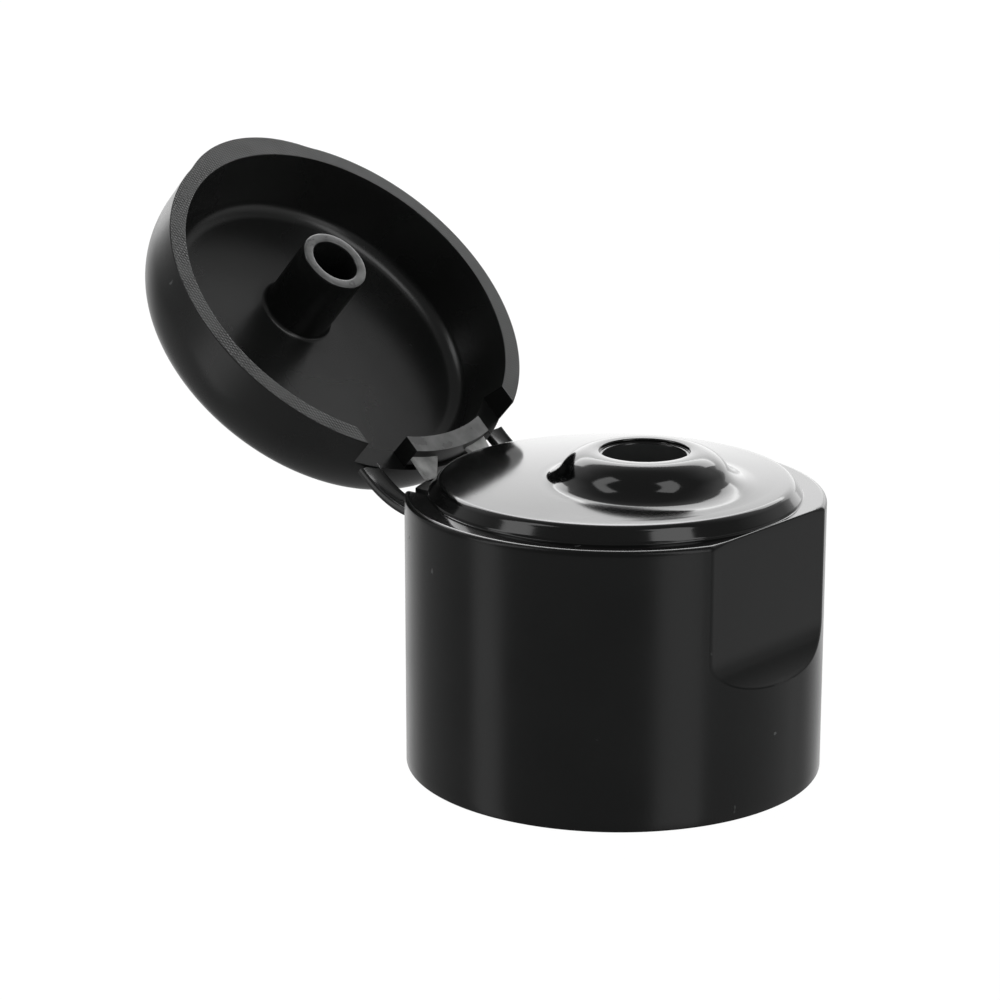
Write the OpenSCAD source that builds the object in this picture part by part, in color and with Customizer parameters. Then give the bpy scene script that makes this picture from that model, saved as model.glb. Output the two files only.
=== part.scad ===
// Flip top dispensing cap for a screw-necked bottle, moulded in one piece and shown open.
// Origin: on the cap's axis, at its bottom rim. +Z is up, the thumb recess faces -Y,
// and the lid hinges about a line along X at the back, at +Y.

/* [Base] */
// Outer diameter of the base and of the lid
cap_d = 28; // [26:0.5:34]
// Height of the base from its bottom rim to the ledge under the lid
base_h = 18.65; // [17:0.25:26]
// Thickness of the outer wall
wall = 1.1; // [0.9:0.05:1.3]
// Width of the ledge around the raised deck
ledge_w = 1.6; // [1.4:0.05:2]
// Thickness of the base under the ledge
ledge_t = 1.25; // [1:0.05:1.6]
// Height of the deck above the ledge
deck_rise = 1.05; // [0.9:0.05:1.3]
// Thickness of the deck
deck_t = 1.2; // [1:0.05:1.5]
// Radius of the deck's rounded edge
deck_round = 0.8; // [0.4:0.05:0.85]
// How much higher the slightly domed deck is at its middle than at its edge
deck_dome = 0.46; // [0.3:0.02:0.6]

/* [Neck fitting] */
// Width of the pocket between the outer wall and the threaded sleeve
pocket_w = 1.8; // [1.5:0.1:2.4]
// Thickness of the threaded sleeve
sleeve_t = 1; // [0.8:0.05:1.1]
// Length of the threaded bore from the bottom rim
thread_l = 16.2; // [13:0.1:16.3]
// How far the land above the thread stands in from the bore
land_in = 0.4; // [0.2:0.05:0.8]
// Outer diameter of the plug seal under the deck
seal_d = 14.2; // [13.6:0.1:16]
// Thickness of the plug seal
seal_t = 0.8; // [0.6:0.05:0.9]
// Length of the plug seal below the deck
seal_l = 1.6; // [1:0.05:1.7]

/* [Nozzle] */
// Distance of the nozzle from the cap's axis, towards the thumb recess
nozzle_y = 2.4; // [0:0.1:2.6]
// Height of the nozzle above the deck
nozzle_h = 2.26; // [1.8:0.02:2.6]
// Diameter of the nozzle's bell-shaped foot, where it meets the deck
nozzle_foot_d = 14.8; // [14:0.1:16]
// Radius of the nozzle's shoulder, which runs on into the hollow at its foot
shoulder_round = 2.35; // [1.8:0.05:2.6]
// Height of that foot above the deck's edge
foot_up = 0.12; // [0.05:0.01:0.2]
// Diameter of the rim's recess around the bore
mouth_d = 6.2; // [6:0.05:6.6]
// Depth of that recess
mouth_depth = 0.24; // [0.15:0.01:0.3]
// Width of the flat lip around the recess
lip_w = 0.4; // [0.2:0.05:0.6]
// Wall of the tube that carries the bore on below the deck
tube_t = 0.85; // [0.6:0.05:0.9]
// Length of that tube below the deck
tube_l = 0.9; // [0.5:0.05:1.5]

/* [Thumb recess] */
// Depth of the recess at the middle
recess_depth = 1.4; // [1:0.05:1.5]
// Height of the recess's flat face, down from the ledge
recess_h = 7.65; // [5:0.05:9]
// Radius of the recess's scooped lower end
recess_round = 3; // [2.5:0.1:3.5]

/* [Lid] */
// Height of the lid from its rim to its top
lid_h = 6.5; // [6.3:0.05:8]
// Height of the lid's straight side
lid_side_h = 2.3; // [2.2:0.05:3]
// Width of the rounding at the lid's top
lid_round_w = 2.5; // [1:0.1:3]
// Thickness of the lid's wall at its rim
lid_rim_t = 1.21; // [1:0.01:1.3]
// How much the inside narrows up to the ceiling
lid_taper = 0.76; // [0.3:0.02:0.9]
// Depth of the lid's inside
lid_depth = 5; // [4.6:0.05:5.2]
// Radius of the fillet between the inside wall and the ceiling
lid_fillet = 0.6; // [0.3:0.05:0.9]
// Gap between the lid's rim and the ledge when closed
rim_gap = 0.05; // [0.05:0.01:0.15]
// How far the thumb lip stands out from the wall
lip_out = 0.5; // [0.3:0.05:0.8]
// Radius of the thumb lip's outline
lip_r = 10.5; // [9:0.25:12]
// Height of the thumb lip
lip_h = 1.8; // [1.2:0.1:2.2]

/* [Plug pin] */
// Outer diameter of the hollow pin that plugs the nozzle
pin_d = 5; // [4.6:0.02:5.04]
// Wall of the pin
pin_t = 0.78; // [0.6:0.02:0.9]
// Length of the pin beyond the lid's rim
pin_reach = 0.78; // [0.3:0.02:1]
// Chamfer at the pin's tip
pin_chamfer = 0.15; // [0.1:0.01:0.25]
// Gap around the pin in the nozzle's bore
pin_clearance = 0.25; // [0.23:0.01:0.3]

/* [Hinge] */
// Angle through which the lid closes
open_angle = 137.56; // [100:0.01:150]
// Distance of the hinge line inside the outer wall
hinge_in = 0.1; // [0:0.01:0.15]
// Height of the hinge line above the ledge
hinge_up = 0.5; // [0.4:0.01:0.6]
// Half width of the gap in the lid's wall at the hinge
window_x = 7.6; // [7.5:0.1:8.5]
// Height of that gap from the lid's rim
window_h = 2; // [1.8:0.05:2.2]
// Half width of the tongue that hangs in the gap
tongue_x = 3.75; // [3.7:0.05:4.5]
// Thickness of the tongue
tongue_t = 1.25; // [1:0.05:1.3]
// Distance of the tongue's end from the lid's rim
tongue_up = 0.2; // [0.1:0.05:0.3]
// Gap between the tongue and the deck's side when closed
tongue_clearance = 0.1; // [0.08:0.01:0.15]
// Half width of the seat for the webs in the base's wall
seat_x = 5.5; // [5.2:0.05:5.6]
// Depth of that seat below the ledge
seat_drop = 0.85; // [0.7:0.05:1]
// Half width of the whole notch in the base's wall
notch_x = 8.6; // [8:0.1:9]
// Depth of the notch beside the seat, below the ledge
notch_drop = 1.65; // [1.5:0.05:1.8]
// Thickness of the wall left under the notch
notch_floor_t = 1.1; // [0.8:0.05:1.4]
// Thickness of a web
web_t = 0.35; // [0.25:0.01:0.45]
// Distance of a web's inner edge from the middle, at the tongue
web_inner_x = 1.05; // [0.8:0.05:1.5]
// Distance of a web's pointed end from the middle, at the base
web_foot_x = 3.2; // [2.8:0.05:3.4]
// Width of a web's pointed end
web_foot_w = 0.7; // [0.5:0.05:1]
// Thickness of a strap
strap_t = 0.5; // [0.4:0.02:0.6]
// Distance of a strap's inner edge from the middle
strap_x = 5.7; // [5.65:0.05:6]
// Width of a strap
strap_w = 1.7; // [1.4:0.05:1.8]
// Depth of a strap's foot below the ledge
strap_drop = 2.1; // [2:0.05:2.4]
// How far a strap bows down from the straight line between its ends
strap_bow = 0.5; // [0.3:0.05:0.7]

/* [Hidden] */
$fn = 128;
eps = 0.01;
arc_steps = 12;

cap_r = cap_d / 2;
deck_r = cap_r - ledge_w;
deck_z = base_h + deck_rise;
sleeve_r = cap_r - wall - pocket_w;
neck_r = sleeve_r - sleeve_t;
deck_under_z = deck_z - deck_t;
ledge_under_z = base_h - ledge_t;

nozzle_foot_r = nozzle_foot_d / 2;
nozzle_z = deck_z + nozzle_h;
bore_r = pin_d / 2 + pin_clearance;
mouth_r = mouth_d / 2;
lip_outer_r = mouth_r + lip_w;
bell_w = nozzle_foot_r - lip_outer_r;
bell_tilt = 2 * atan((nozzle_h - foot_up) / bell_w);
foot_round = bell_w / sin(bell_tilt) - shoulder_round;

recess_y = cap_r - recess_depth;
recess_z = base_h - recess_h;

hinge_y = cap_r - hinge_in;
hinge_z = base_h + hinge_up;
rim_z = base_h + rim_gap;
lid_top_z = rim_z + lid_h;
ceiling_z = rim_z + lid_depth;
lid_rim_r = cap_r - lid_rim_t;
lid_ceiling_r = lid_rim_r - lid_taper;
window_z = rim_z + window_h;
tongue_z = rim_z + tongue_up;
tongue_in_r = deck_r + tongue_clearance;
tongue_out_r = tongue_in_r + tongue_t;

seat_z = base_h - seat_drop;
notch_z = base_h - notch_drop;
notch_under_z = notch_z - notch_floor_t;
notch_wall = 0.8;

// Where a circle of radius r crosses the plane at x
function chord_y(r, x) = sqrt(r * r - x * x);

// Points along an arc of an ellipse
function arc_points(centre, radii, from, to) =
    [for (i = [0:arc_steps])
        let (a = from + (to - from) * i / arc_steps)
        centre + [radii.x * cos(a), radii.y * sin(a)]];

// Point of the closed lid, as [y, z], carried to where it lies with the lid open
function opened(p) =
    let (d = p - [hinge_y, hinge_z])
    [hinge_y + d.x * cos(open_angle) + d.y * sin(open_angle),
     hinge_z - d.x * sin(open_angle) + d.y * cos(open_angle)];

// Carries what is drawn on the closed lid to its open place
module open_lid() {
    translate([0, hinge_y, hinge_z])
        rotate([-open_angle, 0, 0])
            translate([0, -hinge_y, -hinge_z])
                children();
}

// Extrudes an outline drawn in [y, z] along X, from x to x + w
module along_x(x, w) {
    translate([x, 0, 0])
        rotate([90, 0, 90])
            linear_extrude(w)
                children();
}

// The part of a solid between -half and half in x, at the hinge's side
module hinge_slab(half, z_from, z_to) {
    translate([-half, 0, z_from])
        cube([2 * half, 2 * cap_r, z_to - z_from]);
}

// The domed deck's profile, from its edge at radius r to its middle
function dome_points(r) =
    [for (i = [1:arc_steps])
        let (t = 1 - i / arc_steps)
        [r * t, deck_z + deck_dome * (1 - t * t)]];

// Outer wall, ledge, deck and threaded sleeve in one turned outline
module base_outline() {
    polygon(concat(
        [[cap_r - wall, 0], [cap_r, 0], [cap_r, base_h], [deck_r, base_h]],
        arc_points([deck_r - deck_round, deck_z - deck_round], [deck_round, deck_round], 0, 90),
        dome_points(deck_r - deck_round),
        [[0, deck_under_z], [neck_r - land_in, deck_under_z],
         [neck_r - land_in, thread_l], [neck_r, thread_l], [neck_r, 0],
         [sleeve_r, 0], [sleeve_r, ledge_under_z], [cap_r - wall, ledge_under_z]]));
}

// A bell: the shoulder's arc meets the hollow arc of the foot at the steepest place
module nozzle_outline() {
    polygon(concat(
        [[0, deck_under_z + eps], [nozzle_foot_r, deck_under_z + eps]],
        arc_points([nozzle_foot_r, deck_z + foot_up + foot_round], [foot_round, foot_round],
                   270, 270 - bell_tilt),
        arc_points([lip_outer_r, nozzle_z - shoulder_round], [shoulder_round, shoulder_round],
                   90 - bell_tilt, 90),
        [[0, nozzle_z]]));
}

module nozzle() {
    translate([0, -nozzle_y, 0]) {
        rotate_extrude() nozzle_outline();
        translate([0, 0, deck_under_z - tube_l])
            cylinder(r = bore_r + tube_t, h = tube_l + eps);
    }
}

module nozzle_bore() {
    translate([0, -nozzle_y, 0]) {
        cylinder(r = bore_r, h = nozzle_z + 1);
        translate([0, 0, nozzle_z - mouth_depth])
            cylinder(r = mouth_r, h = 1);
    }
}

module plug_seal() {
    translate([0, 0, deck_under_z - seal_l])
        difference() {
            cylinder(d = seal_d, h = seal_l + eps);
            translate([0, 0, -1])
                cylinder(d = seal_d - 2 * seal_t, h = seal_l + 2);
        }
}

// The scooped thumb recess, grown inwards by t: a flat face that ends in a hollow arc
module recess_shape(t) {
    along_x(-cap_r, 2 * cap_r) {
        translate([-2 * cap_r, recess_z])
            square([2 * cap_r - recess_y + t, base_h]);
        translate([-recess_y - recess_round, recess_z])
            circle(r = recess_round + t);
    }
}

// Wall behind the recess, inside the outer wall
module recess_backing() {
    intersection() {
        recess_shape(wall);
        difference() {
            cylinder(r = cap_r - wall / 2, h = base_h - eps);
            translate([0, 0, -1])
                cylinder(r = sleeve_r + eps, h = base_h + 2);
        }
    }
}

// Thicker wall that carries the notch at the hinge
module hinge_backing() {
    intersection() {
        hinge_slab(notch_x + notch_wall, notch_under_z, ledge_under_z + eps);
        difference() {
            cylinder(r = cap_r - wall / 2, h = base_h);
            translate([0, 0, -1])
                cylinder(r = sleeve_r - sleeve_t / 2, h = base_h + 2);
        }
    }
}

// The notch for the hinge: a seat for the webs, with a deeper pocket for a strap on each side
module hinge_notch() {
    difference() {
        union() {
            hinge_slab(notch_x, seat_z, deck_z);
            for (side = [0, 1])
                mirror([side, 0, 0])
                    translate([seat_x, 0, notch_z])
                        cube([notch_x - seat_x, 2 * cap_r, deck_rise + notch_drop]);
        }
        cylinder(r = deck_r, h = deck_z + 1);
    }
}

module base() {
    color("#1b1c1c")
        difference() {
            union() {
                rotate_extrude() base_outline();
                nozzle();
                plug_seal();
                recess_backing();
                hinge_backing();
            }
            nozzle_bore();
            recess_shape(0);
            hinge_notch();
        }
}

module lid_outline() {
    polygon(concat(
        [[lid_rim_r, rim_z], [cap_r, rim_z]],
        arc_points([cap_r - lid_round_w, rim_z + lid_side_h],
                   [lid_round_w, lid_h - lid_side_h], 0, 90),
        [[0, lid_top_z], [0, ceiling_z]],
        arc_points([lid_ceiling_r - lid_fillet, ceiling_z - lid_fillet],
                   [lid_fillet, lid_fillet], 90, 0)));
}

// Crescent on the lid's rim that the thumb lifts
module thumb_lip() {
    difference() {
        translate([0, lip_r - cap_r - lip_out, rim_z])
            rotate_extrude()
                polygon(concat(
                    [[0, 0], [lip_r, 0]],
                    arc_points([lip_r - lip_out, lip_h / 2], [lip_out, lip_h / 2], 0, 90),
                    [[0, lip_h]]));
        cylinder(r = cap_r - lid_rim_t / 2, h = lid_top_z);
    }
}

module plug_pin() {
    r = pin_d / 2;
    tip_z = rim_z - pin_reach;
    translate([0, -nozzle_y, 0])
        rotate_extrude()
            polygon([[r - pin_t, tip_z], [r - pin_chamfer, tip_z], [r, tip_z + pin_chamfer],
                     [r, ceiling_z + eps], [r - pin_t, ceiling_z + eps]]);
}

// Tongue that hangs from the lid's wall into the gap over the hinge
module tongue() {
    intersection() {
        hinge_slab(tongue_x, tongue_z, window_z + eps);
        difference() {
            cylinder(r = tongue_out_r, h = lid_top_z);
            translate([0, 0, -1])
                cylinder(r = tongue_in_r, h = lid_top_z + 2);
        }
    }
}

module closed_lid() {
    difference() {
        union() {
            rotate_extrude() lid_outline();
            thumb_lip();
        }
        hinge_slab(window_x, rim_z - 1, window_z);
    }
    plug_pin();
    tongue();
}

module lid() {
    color("#1f2020")
        open_lid() closed_lid();
}

// A web folds where the lid turns: a thin plate from the seat's outer edge up to the tongue
web_foot = [chord_y(cap_r, web_foot_x), seat_z];
web_top = opened([chord_y(tongue_out_r, tongue_x), rim_z + window_h / 2]);
web_run = web_top - web_foot;
web_l = norm(web_run);
web_tilt = atan2(web_run.y, web_run.x);
web_over = 0.6;

module web() {
    foot_in = web_foot_x - web_foot_w / 2;
    difference() {
        intersection() {
            translate([0, web_foot.x, web_foot.y])
                rotate([web_tilt, 0, 0])
                    linear_extrude(web_t, center = true)
                        polygon([[foot_in, -web_over], [foot_in, 0],
                                 [web_inner_x, web_l], [web_inner_x, web_l + web_over],
                                 [tongue_x, web_l + web_over], [tongue_x, web_l],
                                 [foot_in + web_foot_w, 0], [foot_in + web_foot_w, -web_over]]);
            translate([0, 0, notch_z])
                cylinder(r = cap_r + 3, h = deck_rise + notch_drop);
        }
        cylinder(r = cap_r, h = seat_z);
        open_lid()
            translate([0, 0, tongue_z])
                cylinder(r = tongue_out_r, h = lid_h);
    }
}

module web_left() {
    color("#7d7f7e")
        mirror([1, 0, 0]) web();
}

module web_right() {
    color("#7d7f7e")
        web();
}

// A strap is a flat band bowed from the base's wall to the lid's, just over its gap
strap_mid_x = strap_x + strap_w / 2;
strap_end = opened([chord_y(cap_r, strap_mid_x) - lid_rim_t / 2, window_z + strap_t / 2]);
strap_foot = [chord_y(cap_r, strap_x + strap_w) - wall / 3, base_h - strap_drop];
strap_middle = (strap_end + strap_foot) / 2 - [0, 2 * strap_bow];

// Point of the strap's middle line, and the unit normal there, for t from 0 to 1
function strap_at(t) =
    (1 - t) * (1 - t) * strap_end + 2 * t * (1 - t) * strap_middle + t * t * strap_foot;
function strap_normal(t) =
    let (d = (1 - t) * (strap_middle - strap_end) + t * (strap_foot - strap_middle))
    [-d.y, d.x] / norm(d);
function strap_side(h) =
    [for (i = [0:arc_steps]) strap_at(i / arc_steps) + h * strap_normal(i / arc_steps)];
function reversed(list) = [for (i = [len(list) - 1:-1:0]) list[i]];

module strap() {
    difference() {
        along_x(strap_x, strap_w)
            polygon(concat(strap_side(strap_t / 2), reversed(strap_side(-strap_t / 2))));
        cylinder(r = cap_r, h = notch_z);
        open_lid()
            translate([0, 0, rim_z])
                cylinder(r = cap_r, h = lid_h);
    }
}

module strap_left() {
    color("#2a2b2b")
        mirror([1, 0, 0]) strap();
}

module strap_right() {
    color("#2a2b2b")
        strap();
}

base();
lid();
web_left();
web_right();
strap_left();
strap_right();
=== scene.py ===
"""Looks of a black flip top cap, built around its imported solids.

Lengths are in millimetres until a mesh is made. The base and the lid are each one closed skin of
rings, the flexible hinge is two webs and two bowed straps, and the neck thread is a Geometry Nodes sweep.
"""

import logging
import math
from dataclasses import dataclass, field
from enum import Enum
from functools import reduce
from typing import Callable, Sequence

import bmesh
import bpy
import numpy as np
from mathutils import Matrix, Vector

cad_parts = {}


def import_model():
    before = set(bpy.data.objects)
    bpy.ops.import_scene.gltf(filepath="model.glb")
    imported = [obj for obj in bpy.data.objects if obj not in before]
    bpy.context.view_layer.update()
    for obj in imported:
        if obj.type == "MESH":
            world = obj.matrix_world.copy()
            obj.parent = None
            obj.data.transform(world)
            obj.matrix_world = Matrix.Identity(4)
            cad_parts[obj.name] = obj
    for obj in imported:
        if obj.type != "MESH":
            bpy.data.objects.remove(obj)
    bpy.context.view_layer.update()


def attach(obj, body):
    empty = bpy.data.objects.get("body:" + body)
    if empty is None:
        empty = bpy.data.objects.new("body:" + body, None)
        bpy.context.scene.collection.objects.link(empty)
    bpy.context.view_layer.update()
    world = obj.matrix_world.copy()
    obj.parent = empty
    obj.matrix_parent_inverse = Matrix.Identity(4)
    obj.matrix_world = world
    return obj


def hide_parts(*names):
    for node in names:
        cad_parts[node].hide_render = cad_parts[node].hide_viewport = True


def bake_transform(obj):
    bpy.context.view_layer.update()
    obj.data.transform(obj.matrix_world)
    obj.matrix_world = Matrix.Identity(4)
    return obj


LOG = logging.getLogger("flip_top_cap")
MM = 0.001
SHARP_ANGLE = math.radians(40)
SECTOR_STEPS = 24
WHITE = (1.0, 1.0, 1.0, 1.0)
# scale per metre and depth in metres of each bump
WAVES, GRAIN, HATCH = (260.0, 0.0001), (9000.0, 0.00001), (1500.0, 0.00003)
SCUFF_COLOUR = (0.16, 0.165, 0.165)
SCUFF_SCALE = 560.0
SCUFF_BEND = 0.0012
SCUFF_RARITY = 0.88

Ring = np.ndarray
Numbers = np.ndarray | float
Pair = tuple[float, float]
Piece = bpy.types.Object
Socket = bpy.types.NodeSocket


class Side(Enum):
    """Side of the cap's middle plane, as a factor on X."""

    LEFT = -1
    RIGHT = 1


class Slot(Enum):
    """Names of the material slots of the base, the lid and the hinge."""

    BASE = "base_plastic"
    LID = "lid_plastic"
    HINGE = "hinge_plastic"


@dataclass(frozen=True)
class CapSizes:
    """Driving sizes shared by the base, the lid and the hinge, in millimetres."""

    cap_r: float = 14.0
    wall: float = 1.1
    base_h: float = 18.65
    deck_r: float = 12.4
    deck_z: float = 19.7
    deck_edge_r: float = 11.42
    nozzle_y: float = -2.4
    nozzle_z: float = 21.96
    bore_r: float = 2.75
    hinge_y: float = 13.9
    hinge_z: float = 19.15
    open_angle: float = 137.56
    rim_z: float = 18.7
    window_h: float = 2.0
    seat_z: float = 17.8

    def opened(self, points: np.ndarray) -> np.ndarray:
        """Carry points of the closed lid to where they lie with the lid open.

        Args:
            points: array whose last axis is X, Y, Z.

        Returns:
            The turned points, in the same shape.
        """
        turn = math.radians(-self.open_angle)
        y = points[..., 1] - self.hinge_y
        z = points[..., 2] - self.hinge_z
        return np.stack(
            [
                points[..., 0],
                self.hinge_y + y * math.cos(turn) - z * math.sin(turn),
                self.hinge_z + y * math.sin(turn) + z * math.cos(turn),
            ],
            axis=-1,
        )


def ellipse_arc(centre: Pair, radii: Pair, start: float, end: float, steps: int) -> list[Pair]:
    """Points along part of an ellipse, as pairs of radius and height.

    Args:
        centre: middle of the ellipse.
        radii: its half axes.
        start: first angle in degrees.
        end: last angle in degrees.
        steps: number of stretches between the points.

    Returns:
        The points, both ends included.
    """
    angles = np.radians(np.linspace(start, end, steps + 1))
    return [(centre[0] + radii[0] * math.cos(a), centre[1] + radii[1] * math.sin(a)) for a in angles]


def round_arc(centre: Pair, radius: float, start: float, end: float, steps: int) -> list[Pair]:
    """Points along part of a circle, as ellipse_arc gives them for an ellipse."""
    return ellipse_arc(centre, (radius, radius), start, end, steps)


def smooth_min(a: np.ndarray, b: np.ndarray, soft: float) -> np.ndarray:
    """Lesser of two arrays, rounded over a width of soft where they cross."""
    share = np.clip(0.5 + 0.5 * (b - a) / soft, 0, 1)
    return b + (a - b) * share - soft * share * (1 - share) / 2


def between(first: Ring, last: Ring, steps: int) -> list[Ring]:
    """Rings that lead evenly from one ring to another, both left out."""
    return [first + (last - first) * i / steps for i in range(1, steps)]


def skin_mesh(name: str, rings: Sequence[Ring], poles: Sequence[np.ndarray] = ()) -> Piece:
    """Join rings of points into one closed skin.

    Args:
        name: name of the object.
        rings: rings in order, with one number of points each, in millimetres.
        poles: first and last pole. With none, the last ring joins the first.

    Returns:
        The linked object, with its normals pointing outwards.
    """
    stacked = np.array(rings)
    count, around = stacked.shape[:2]
    points = stacked.reshape(-1, 3)
    closed = not len(poles)
    faces = []
    for i in range(count if closed else count - 1):
        low, high = i * around, ((i + 1) % count) * around
        faces += [(low + j, low + (j + 1) % around, high + (j + 1) % around, high + j) for j in range(around)]
    if not closed:
        points = np.vstack([points, *poles])
        first, last, row = count * around, count * around + 1, (count - 1) * around
        faces += [(first, (j + 1) % around, j) for j in range(around)]
        faces += [(last, row + j, row + (j + 1) % around) for j in range(around)]
    return plain_mesh(name, points, faces)


def plain_mesh(name: str, points: np.ndarray, faces: Sequence[tuple[int, ...]]) -> Piece:
    """Make a linked object from points in millimetres and faces, with outward normals."""
    mesh = bpy.data.meshes.new(name)
    mesh.from_pydata((np.asarray(points) * MM).tolist(), [], faces)
    made = bpy.data.objects.new(name, mesh)
    bpy.context.scene.collection.objects.link(made)
    turn_outwards(made)
    return made


def turn_outwards(piece: Piece) -> None:
    """Make every face of a closed mesh point outwards."""
    work = bmesh.new()
    work.from_mesh(piece.data)
    bmesh.ops.recalc_face_normals(work, faces=work.faces)
    work.to_mesh(piece.data)
    work.free()


def prism(name: str, outline: Sequence[Pair], low: float, high: float) -> Piece:
    """Upright prism over an outline drawn in X and Y, in millimetres."""
    n = len(outline)
    points = [(x, y, low) for x, y in outline] + [(x, y, high) for x, y in outline]
    faces = [tuple(range(n)), tuple(range(n, 2 * n))]
    faces += [(i, (i + 1) % n, n + (i + 1) % n, n + i) for i in range(n)]
    return plain_mesh(name, np.array(points), faces)


def sector_outline(inner_r: float, outer_r: float, x_from: float, x_to: float) -> list[Pair]:
    """Outline of a slice of a ring at the hinge side, cut by two planes of constant X.

    Args:
        inner_r: radius of the inner arc.
        outer_r: radius of the outer arc.
        x_from: first plane.
        x_to: last plane.

    Returns:
        Points in X and Y.
    """
    xs = np.linspace(x_from, x_to, SECTOR_STEPS + 1)
    inner = [(x, math.sqrt(inner_r**2 - x**2)) for x in xs]
    outer = [(x, math.sqrt(outer_r**2 - x**2)) for x in xs[::-1]]
    return inner + outer


def combine(piece: Piece, tool: Piece, operation: str) -> None:
    """Cut a tool out of a piece, or join it to the piece, and delete the tool."""
    step = piece.modifiers.new("combine", "BOOLEAN")
    step.operation = operation
    step.solver = "EXACT"
    step.object = tool
    apply_modifiers(piece)
    bpy.data.objects.remove(tool)


def apply_modifiers(piece: Piece) -> None:
    """Replace a piece's mesh with what its modifiers make of it."""
    bpy.context.view_layer.update()
    made = bpy.data.meshes.new_from_object(piece.evaluated_get(bpy.context.evaluated_depsgraph_get()))
    piece.modifiers.clear()
    piece.data = made


def smooth(piece: Piece) -> None:
    """Shade a piece smooth, apart from its sharp edges."""
    piece.data.shade_smooth()
    piece.data.set_sharp_from_angle(angle=SHARP_ANGLE)


def made_finish(finish: "Finish") -> bpy.types.Material:
    """Return a finish's material, made on its first use."""
    return bpy.data.materials.get(finish.value.name) or finish.value.build()


def dress(
    piece: Piece,
    finishes: Sequence["Finish"],
    chooser: Callable[[np.ndarray, np.ndarray], np.ndarray] | None = None,
) -> None:
    """Give a piece its finishes.

    Args:
        piece: the piece.
        finishes: its finishes, in order.
        chooser: gives each face's finish from the faces' centres in millimetres and their normals.
    """
    mesh = piece.data
    mesh.materials.clear()
    for finish in finishes:
        mesh.materials.append(made_finish(finish))
    if chooser:
        centres = np.zeros(len(mesh.polygons) * 3, np.float32)
        normals = np.zeros_like(centres)
        mesh.polygons.foreach_get("center", centres)
        mesh.polygons.foreach_get("normal", normals)
        chosen = chooser(centres.reshape(-1, 3) / MM, normals.reshape(-1, 3))
        mesh.polygons.foreach_set("material_index", chosen.astype(np.int32))


class NodeTree:
    """Short calls for adding and linking nodes."""

    def __init__(self, tree: bpy.types.NodeTree) -> None:
        """Empty the tree and keep it."""
        self.tree = tree
        self.tree.nodes.clear()

    def add(
        self, kind: str, inputs: dict[str | int, object] | None = None, **settings: object
    ) -> bpy.types.Node:
        """Add a node.

        Args:
            kind: Blender's name for the node.
            inputs: socket values by name or number. An output socket is linked.
            settings: attributes of the node.

        Returns:
            The node.
        """
        node = self.tree.nodes.new(kind)
        for key, value in settings.items():
            setattr(node, key, value)
        for key, value in (inputs or {}).items():
            socket = node.inputs[key]
            if isinstance(value, Socket):
                self.tree.links.new(value, socket)
            else:
                socket.default_value = value
        return node

    def ramp(self, value: Socket, low: float, high: float, start: float, end: float) -> Socket:
        """Map a value from low..high to start..end, held at both ends."""
        given = {"Value": value, "From Min": low, "From Max": high, "To Min": start, "To Max": end}
        return self.add("ShaderNodeMapRange", given).outputs["Result"]

    def math(self, operation: str, first: Socket, second: object) -> Socket:
        """Combine a socket with another socket or a number."""
        return self.add("ShaderNodeMath", {0: first, 1: second}, operation=operation).outputs["Value"]

    def product(self, *factors: Socket) -> Socket:
        """Multiply sockets together."""
        return reduce(lambda first, second: self.math("MULTIPLY", first, second), factors)

    def blend_colour(self, share: Socket, low: object, high: tuple[float, ...]) -> Socket:
        """Mix from one colour, or a colour socket, to another colour by a share of 0 to 1."""
        start = low if isinstance(low, Socket) else (*low, 1.0)
        return self.add("ShaderNodeMix", {0: share, 6: start, 7: (*high, 1.0)}, data_type="RGBA").outputs[2]


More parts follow.
